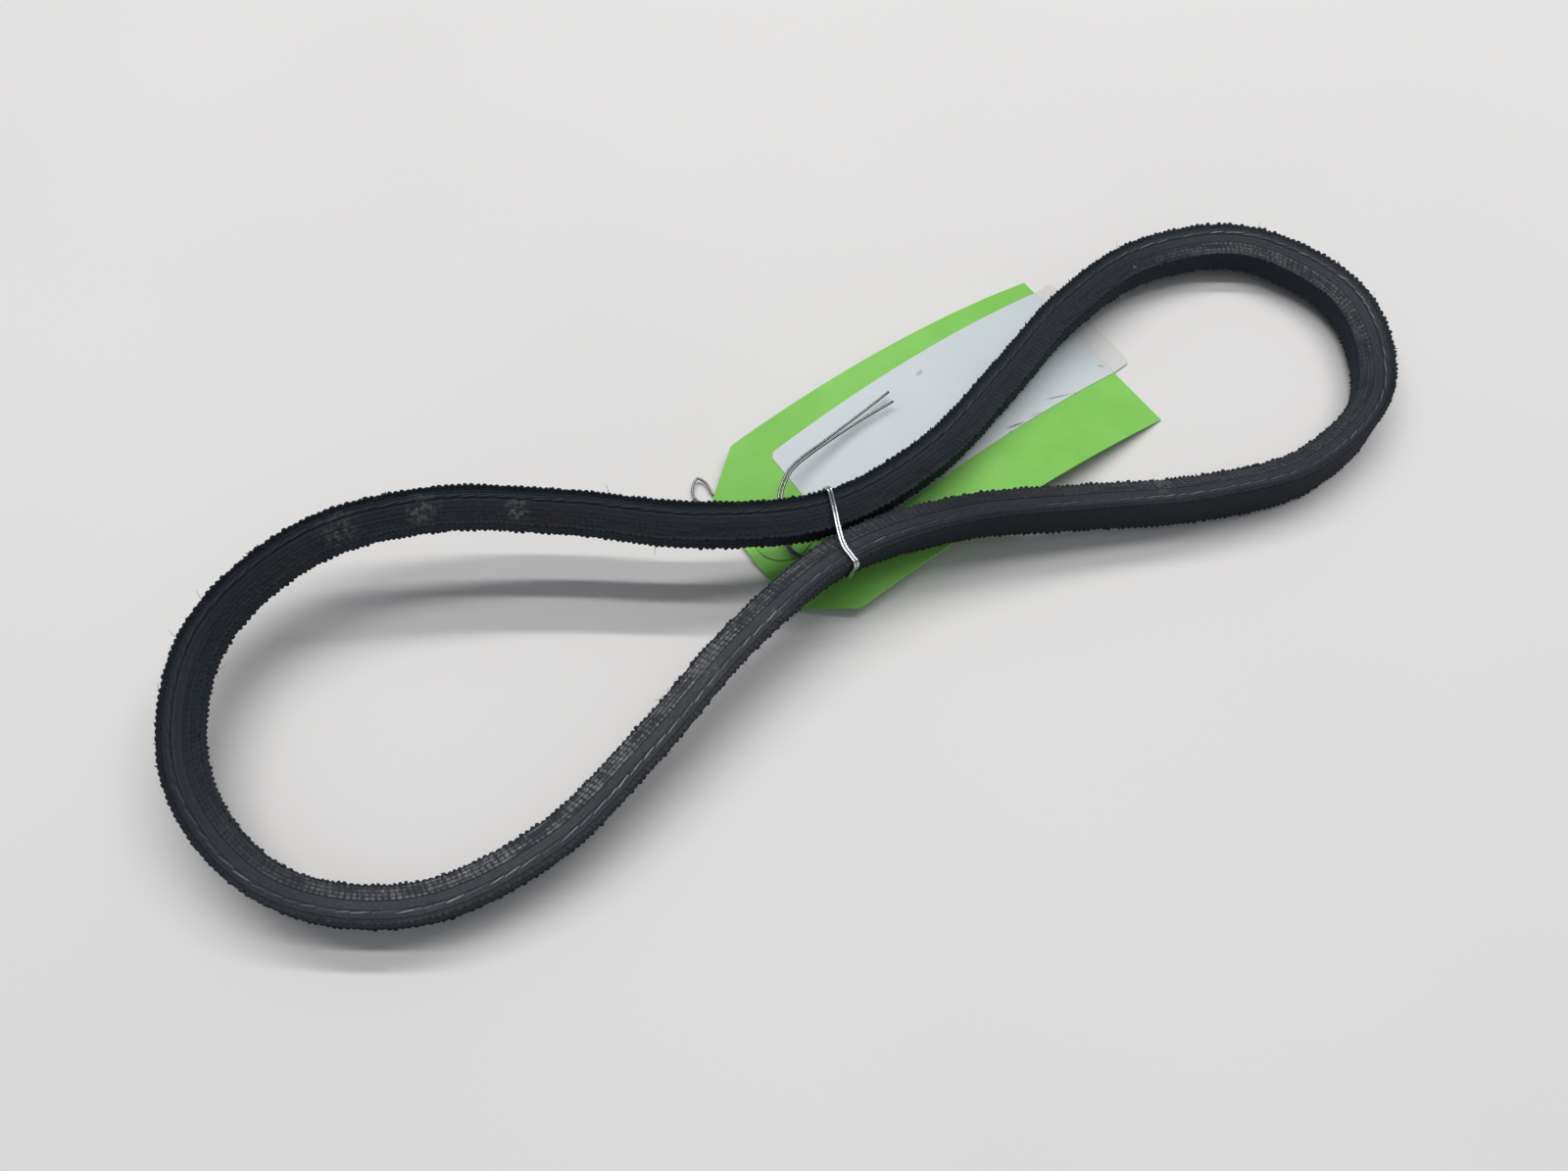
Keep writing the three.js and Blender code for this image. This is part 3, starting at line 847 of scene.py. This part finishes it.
def stray_fibres(material):
    """Tufts and loose fibres standing out of the four cut edges."""
    rng = np.random.default_rng(THREAD_SEED)
    pieces = []
    for kind in [TUFT] * TUFT.count + [FIBRE] * FIBRE.count:
        place = rng.uniform(0, 1)
        outer = rng.random() < 0.5
        sign = 1 if rng.random() < 0.6 else -1
        depth = rng.uniform(*(OUTER_ROOTS if outer else INNER_ROOTS))
        root = section_point(place, depth, sign * (half_width(depth) - ROOT_SINK))[0]
        _, axis, out, tangent = (v[0] for v in frames_at(np.array([place])))
        away = axis * sign * rng.uniform(0.3, 1.0) + out * rng.uniform(0.3, 1.0) * (1 if outer else -1)
        away = away / np.linalg.norm(away)
        size = rng.uniform(*kind.length)
        share = np.linspace(0, 1, kind.points)[:, None]
        drift = tangent * rng.uniform(-1.0, 1.0) * size * kind.drift
        curl = rng.normal(0, kind.curl, 3) * size
        path = root + away * size * share + drift * share ** 2 + curl * share ** 3
        path[:, 2] = np.maximum(path[:, 2], LEAST_HEIGHT)
        pieces.append((path, np.linspace(*kind.radius, kind.points), 0.0, kind.sides))
    return bars("stray_fibres", pieces, material)


# ---------------------------------------------------------------- wire, as in the CAD (mm)
WIRE_RADIUS = 0.275
WIRE_CLEAR = 0.62
WIRE_STEPS = 22
WIRE_SIDES = 20
# where each strand keeps its full steel colour, from its free end (mm), and the length over which that
# fades; outside it the tails are painted in shade
WIRE_UNSHADED = (42.0, 92.0)
WIRE_FADE = 4.0
WIRE_FOLD = (-20.6, 28.9, 1.1)


def wire_guides():
    """Middle of the doubled wire from its free end on, and half the way from strand to strand."""
    side = half_width(0) + WIRE_CLEAR
    far, near = 0.0, 0.5
    far_gap = (0.31, 0.02, 0)
    near_gap = (0.31, 0, 0)

    def free(x, y, z, gap):
        return np.array([x, y, z]) + FRAME_SHIFT, np.array(gap, float)

    def over(place, depth, across, gap):
        return section_point(place, depth, across)[0], np.array(gap, float)

    return [
        free(24.5, 26.4, 8.8, (-0.1, -1.3, 0)),
        free(15.2, 24.0, 8.9, (0.0, -0.62, 0)),
        free(6.2, 21.5, 9.0, (0.1, -0.32, 0)),
        free(1.6, 20.2, 9.0, (0.12, -0.31, 0)),
        free(-2.0, 18.9, 9.0, (0.2, -0.27, 0)),
        free(-4.6, 17.2, 9.0, (0.26, -0.2, 0)),
        free(-8.1, 12.7, 8.7, (0.3, -0.15, 0)),
        free(-7.2, 8.6, 8.7, (0.33, 0.05, 0)),
        over(far, -WIRE_CLEAR, -side + 1.2, far_gap),
        over(far, -WIRE_CLEAR, 0, far_gap),
        over(far, -WIRE_CLEAR, side - 0.9, far_gap),
        over(far, 0.5, side + 0.2, far_gap),
        over(far, 3.2, half_width(3.2) + WIRE_CLEAR + 0.1, far_gap),
        over(near, 4.4, half_width(4.4) + WIRE_CLEAR + 0.6, near_gap),
        over(near, 1.2, half_width(1.2) + WIRE_CLEAR + 0.1, near_gap),
        over(near, 0.0, side, near_gap),
        over(near, -WIRE_CLEAR, side - 0.9, near_gap),
        over(near, -WIRE_CLEAR, 0, near_gap),
        over(near, -WIRE_CLEAR, -side + 1.0, near_gap),
        over(near, 0.4, -side - 0.1, near_gap),
        free(-7.4, -3.2, 7.0, (0.25, 0.2, 0)),
        free(-10.4, 2.2, 5.6, (0.25, 0.2, 0)),
        free(-10.0, 6.4, 4.4, (0.32, 0, 0)),
        free(-9.3, 8.3, 2.4, (0.32, 0, 0)),
        free(-10.4, 10.4, 0.6, (0.3, 0.1, 0)),
        free(-14.6, 16.6, 0.36, (0.5, 0.35, 0)),
        free(-18.6, 21.6, 0.42, (1.0, 0.4, 0)),
        free(-20.9, 24.4, 0.7, (1.85, 0.1, 0)),
        free(-20.9, 26.9, 0.9, (1.7, 0.1, 0)),
    ]


def tie_wire(material):
    """One wire, laid double: out along the guides, round the fold and back."""
    guides = wire_guides()
    fold = np.array(WIRE_FOLD) + FRAME_SHIFT
    first = [at + gap for at, gap in guides]
    second = [at - gap for at, gap in guides][::-1]
    path = smooth_path(first + [fold] + second, WIRE_STEPS)
    run = np.concatenate([[0], np.cumsum(np.linalg.norm(np.diff(path, axis=0), axis=1))])
    from_end = np.minimum(run, run[-1] - run)
    first_unshaded, last_unshaded = WIRE_UNSHADED
    # 1 over the belt, falling to 0 along the tails, which are painted in shade
    unshaded = (np.clip((from_end - first_unshaded) / WIRE_FADE, 0, 1)
             * np.clip((last_unshaded - from_end) / WIRE_FADE, 0, 1))
    verts, faces = tube_mesh(path, WIRE_RADIUS, WIRE_SIDES)
    look = np.zeros((len(verts), 3))
    look[:, 1] = np.repeat(unshaded, WIRE_SIDES)
    return new_object("wire_tie", verts, faces, "belt", material, attributes={"look": look})


# ---------------------------------------------------------------- tag, as in the CAD (mm)
TAG_LENGTH = 95.25
TAG_WIDTH = 47.63
TAG_THICKNESS = 0.33
TAG_CORNER = (11.1, 8.7)
TAG_BOW = 6.2
TAG_END_LIFT = 0.7
TAG_ANGLE = math.radians(10.65)
TAG_END = np.array([-17.6, 6.8, 0.0])
HOLE_RADIUS = 2.5
HOLE_INSET = 8.5
PATCH_RADIUS = 6.5
PATCH_THICKNESS = 0.2
LABEL_START = 16.4
LABEL_LENGTH = 84.0
LABEL_WIDTH = 28.0
LABEL_MIDDLE = 2.56
LABEL_SLOPE = math.tan(math.radians(2.4))
LABEL_THICKNESS = 0.12
LABEL_CORNER = 1.2
LAYER_GAP = 0.03
PATCH_GAP = 0.09

# fineness of the sheets: steps along, points across; sides of the round ones
CARD_STEPS = (96, 33)
LABEL_STEPS = (100, 17)
HOLE_SIDES = 48
DRILL_REACH = 2.0
PATCH_SIDES = 72
PATCH_RINGS = (HOLE_RADIUS, 3.2, 4.4, 5.6, PATCH_RADIUS)


def on_bow(flat):
    """Bends flat points (along, across, height) over the tag's bow and moves them to its place."""
    flat = np.asarray(flat, float)
    part = np.clip(flat[:, 0] / TAG_LENGTH, 0, 1)
    slope = (4 * TAG_BOW * (1 - 2 * part) - TAG_END_LIFT) / TAG_LENGTH
    slope = np.where(flat[:, 0] <= TAG_LENGTH, slope, 0.0)
    height = 4 * TAG_BOW * part * (1 - part) + TAG_END_LIFT * (1 - part)
    tilt = np.hypot(1, slope)
    x = flat[:, 0] - flat[:, 2] * slope / tilt
    z = height + flat[:, 2] / tilt
    c, s = math.cos(TAG_ANGLE), math.sin(TAG_ANGLE)
    placed = np.stack([x * c - flat[:, 1] * s, x * s + flat[:, 1] * c, z], 1)
    return placed + TAG_END + FRAME_SHIFT


def sheet_piece(name, rows, low, high, material, replaces):
    """A thin bent sheet from rows of (along, across) points, all rows the same length."""
    rows = np.asarray(rows, float)
    count, size = rows.shape[:2]
    flat = []
    for z in (low, high):
        layer = np.concatenate([rows.reshape(-1, 2), np.full((count * size, 1), z)], 1)
        flat.append(layer)
    flat = np.concatenate(flat)
    lower, upper = 0, count * size
    faces = []
    for i in range(count - 1):
        for j in range(size - 1):
            a, b, c, d = i * size + j, (i + 1) * size + j, (i + 1) * size + j + 1, i * size + j + 1
            faces.append([upper + a, upper + b, upper + c, upper + d])
            faces.append([lower + d, lower + c, lower + b, lower + a])
    rim = [(i, 0) for i in range(count)]
    rim += [(count - 1, j) for j in range(1, size)]
    rim += [(i, size - 1) for i in range(count - 2, -1, -1)]
    rim += [(0, j) for j in range(size - 2, 0, -1)]
    for (i, j), (k, m) in zip(rim, rim[1:] + rim[:1]):
        a, b = i * size + j, k * size + m
        faces.append([lower + a, lower + b, upper + b, upper + a])
    piece = new_object(name, on_bow(flat), faces, "tag", material, smooth=False,
                       attributes={"tag": flat})
    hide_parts(*replaces)
    return piece


def tag_card(material):
    """The card: a fine sheet with cut corners and a round hole, cut by a boolean."""
    rows = []
    steps, points = CARD_STEPS
    for i in range(steps + 1):
        x = TAG_LENGTH * i / steps
        half = TAG_WIDTH / 2 - TAG_CORNER[1] * max(0.0, 1 - x / TAG_CORNER[0])
        rows.append([(x, half * t) for t in np.linspace(-1, 1, points)])
    piece = sheet_piece("card_tag", rows, 0.0, TAG_THICKNESS, material, ["tag_card"])
    sides, reach = HOLE_SIDES, [0, 0, DRILL_REACH]
    turn = np.linspace(0, 2 * math.pi, sides, endpoint=False)
    centre = on_bow([[HOLE_INSET, 0, 0]])[0]
    rim = np.stack([np.cos(turn) * HOLE_RADIUS, np.sin(turn) * HOLE_RADIUS, np.zeros(sides)], 1)
    drill_verts = np.concatenate([rim + centre - reach, rim + centre + reach])
    drill_faces = [[i, (i + 1) % sides, sides + (i + 1) % sides, sides + i] for i in range(sides)]
    drill_faces += [list(range(sides))[::-1], list(range(sides, 2 * sides))]
    mesh = bpy.data.meshes.new("drill")
    mesh.from_pydata([tuple(v) for v in drill_verts * MM], [], drill_faces)
    drill = bpy.data.objects.new("drill", mesh)
    bpy.context.scene.collection.objects.link(drill)
    cut = piece.modifiers.new("hole", "BOOLEAN")
    cut.object = drill
    cut.operation = "DIFFERENCE"
    cut.solver = "EXACT"
    bpy.context.view_layer.update()
    evaluated = piece.evaluated_get(bpy.context.evaluated_depsgraph_get())
    baked = bpy.data.meshes.new_from_object(evaluated)
    piece.modifiers.clear()
    piece.data = baked
    bpy.data.objects.remove(drill)
    return piece


def hole_patch(name, low, material, node):
    """A round reinforcing patch with the hole in it."""
    turns = np.linspace(0, 2 * math.pi, PATCH_SIDES, endpoint=False)
    flat, faces = [], []
    for z in (low, low + PATCH_THICKNESS):
        for radius in PATCH_RINGS:
            flat += [(HOLE_INSET + radius * math.cos(t), radius * math.sin(t), z) for t in turns]
    size, rings = PATCH_SIDES, len(PATCH_RINGS)
    upper = size * rings
    for r in range(rings - 1):
        for j in range(size):
            k = (j + 1) % size
            a, b, c, d = r * size + j, (r + 1) * size + j, (r + 1) * size + k, r * size + k
            faces.append([upper + a, upper + b, upper + c, upper + d])
            faces.append([d, c, b, a])
    for j in range(size):
        k = (j + 1) % size
        outer = (rings - 1) * size
        faces.append([outer + j, outer + k, upper + outer + k, upper + outer + j])
        faces.append([k, j, upper + j, upper + k])
    piece = new_object(name, on_bow(flat), faces, "tag", material, smooth=False)
    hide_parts(node)
    return piece


def label(material):
    """The blank label: round cornered, laid askew and running past the card's free end."""
    rows = []
    steps, points = LABEL_STEPS
    low = TAG_THICKNESS + LAYER_GAP
    for i in range(steps + 1):
        run = LABEL_LENGTH * i / steps
        inside = max(0.0, LABEL_CORNER - min(run, LABEL_LENGTH - run))
        trim = LABEL_CORNER - math.sqrt(max(0.0, LABEL_CORNER ** 2 - inside ** 2))
        middle = LABEL_MIDDLE + run * LABEL_SLOPE
        half = LABEL_WIDTH / 2 - trim
        rows.append([(LABEL_START + run, middle + half * t) for t in np.linspace(-1, 1, points)])
    return sheet_piece("label_blank", rows, low, low + LABEL_THICKNESS, material, ["tag_label"])


# ---------------------------------------------------------------- camera, floor and light
VIEW_TURN = math.radians(25.5)
LOOK_POINT = np.array([-13.889, -1.919, 0.0]) + FRAME_SHIFT
CAMERA_PITCH = math.radians(63.593)
CAMERA_ROLL = math.radians(1.13)
CAMERA_DISTANCE = 256.18
FOCAL_PIXELS = 1250.0
IMAGE_SIZE = (1600, 1195)
SENSOR = 36.0
CAMERA_CLIP = (0.01, 20.0)
FLOOR_HALF = 3.0
TUBE_SIZE = (2.4, 0.06)
# ceiling lights: name, height over the horizon (degrees), distance (m), power (W) and colour
TUBES = (
    ("tube_overhead", 79, 1.6, 11.6, (1.0, 0.985, 0.97)),
    ("tube_behind", 61, 1.6, 15.0, (1.0, 0.99, 0.98)),
)
# ambient light at the horizon, from SKY_TOP up, and as the camera sees it
SKY_TOP = 0.8
SKY_LOW = (0.09, 0.094, 0.10, 1)
SKY_HIGH = (0.325, 0.338, 0.36, 1)
SKY_SEEN = (0.68, 0.68, 0.67, 1)


def from_view_heading(vector):
    """A direction seen from the camera's own heading, turned into the part's frame."""
    x, y, z = vector
    c, s = math.cos(VIEW_TURN), math.sin(VIEW_TURN)
    return np.array([x * c + y * s, -x * s + y * c, z])


def add_camera():
    """A pinhole camera at the fitted place, pitch and roll."""
    e, r = CAMERA_PITCH, CAMERA_ROLL
    forward = from_view_heading((0, math.cos(e), -math.sin(e)))
    level = from_view_heading((1, 0, 0))
    lift = np.cross(level, forward)
    right = math.cos(r) * level + math.sin(r) * lift
    up = -math.sin(r) * level + math.cos(r) * lift
    data = bpy.data.cameras.new("camera")
    data.sensor_fit = "HORIZONTAL"
    data.sensor_width = SENSOR
    data.lens = SENSOR * FOCAL_PIXELS / IMAGE_SIZE[0]
    data.clip_start, data.clip_end = CAMERA_CLIP
    camera = bpy.data.objects.new("camera", data)
    basis = Matrix((right, up, -forward)).transposed()
    place = Vector((LOOK_POINT - forward * CAMERA_DISTANCE) * MM)
    camera.matrix_world = Matrix.Translation(place) @ basis.to_4x4()
    bpy.context.scene.collection.objects.link(camera)
    bpy.context.scene.camera = camera


def add_tube(name, rise, distance, power, colour):
    """A long narrow ceiling light beyond the object, level with the view and aimed at the origin."""
    turn = math.radians(rise)
    aim = Vector(from_view_heading((0, math.cos(turn), math.sin(turn))))
    level = Vector(from_view_heading((1, 0, 0)))
    data = bpy.data.lights.new(name, "AREA")
    data.shape = "RECTANGLE"
    data.size = TUBE_SIZE[0]
    data.size_y = TUBE_SIZE[1]
    data.energy = power
    data.color = colour
    lamp = bpy.data.objects.new(name, data)
    basis = Matrix((level, aim.cross(level), aim)).transposed()
    lamp.matrix_world = Matrix.Translation(aim * distance) @ basis.to_4x4()
    bpy.context.scene.collection.objects.link(lamp)


def add_floor():
    mesh = bpy.data.meshes.new("floor")
    half = FLOOR_HALF
    corners = [(-half, -half, 0), (half, -half, 0), (half, half, 0), (-half, half, 0)]
    mesh.from_pydata(corners, [], [[0, 1, 2, 3]])
    mesh.materials.append(floor_material())
    floor = bpy.data.objects.new("floor", mesh)
    bpy.context.scene.collection.objects.link(floor)


def add_world():
    """Soft ambient light: brighter overhead than low down, and plain pale where the camera sees it."""
    world = bpy.data.worlds.new("studio")
    world.use_nodes = True
    tree = world.node_tree
    sky = tree.nodes["Background"]
    way = tree.nodes.new("ShaderNodeTexCoord")
    parts = tree.nodes.new("ShaderNodeSeparateXYZ")
    climb = tree.nodes.new("ShaderNodeMapRange")
    shade = tree.nodes.new("ShaderNodeMix")
    seen = tree.nodes.new("ShaderNodeLightPath")
    final = tree.nodes.new("ShaderNodeMix")
    for blend in (shade, final):
        blend.data_type = "RGBA"
    climb.inputs["From Max"].default_value = SKY_TOP
    shade.inputs[6].default_value = SKY_LOW
    shade.inputs[7].default_value = SKY_HIGH
    final.inputs[7].default_value = SKY_SEEN
    links = tree.links
    links.new(way.outputs["Generated"], parts.inputs[0])
    links.new(parts.outputs[2], climb.inputs["Value"])
    links.new(climb.outputs["Result"], shade.inputs[0])
    links.new(shade.outputs[2], final.inputs[6])
    links.new(seen.outputs["Is Camera Ray"], final.inputs[0])
    links.new(final.outputs[2], sky.inputs["Color"])
    bpy.context.scene.world = world


bpy.context.scene.view_settings.view_transform = "Standard"
add_camera()
add_world()
for tube in TUBES:
    add_tube(*tube)
add_floor()

back = belt_ring("belt_back_plies", back_profile, back_ply_material())
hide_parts("back_ply_outer", "back_ply_inner")
core = belt_ring("belt_rubber_core", rubber_profile, rubber_material())
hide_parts("overcord_rubber", "adhesion_gum_upper", "adhesion_gum_lower", "undercord_rubber")
base = belt_ring("belt_base_plies", base_profile, base_ply_material())
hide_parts("base_ply_1", "base_ply_2", "base_ply_3", "base_ply_4")
dashes = cord_dashes(cord_material())
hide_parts("tensile_cord")
fibres = stray_fibres(fibre_material())

wire = tie_wire(wire_material())
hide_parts("tie_wire")

card = tag_card(card_material("tag_card_green", *CARD_GREEN))
patch_paper = card_material("patch_green", *PATCH_GREEN)
hole_patch("hole_patch_top", TAG_THICKNESS + PATCH_GAP, patch_paper, "hole_patch_upper")
hole_patch("hole_patch_under", -LAYER_GAP - PATCH_THICKNESS, patch_paper, "hole_patch_lower")
blank = label(label_material())
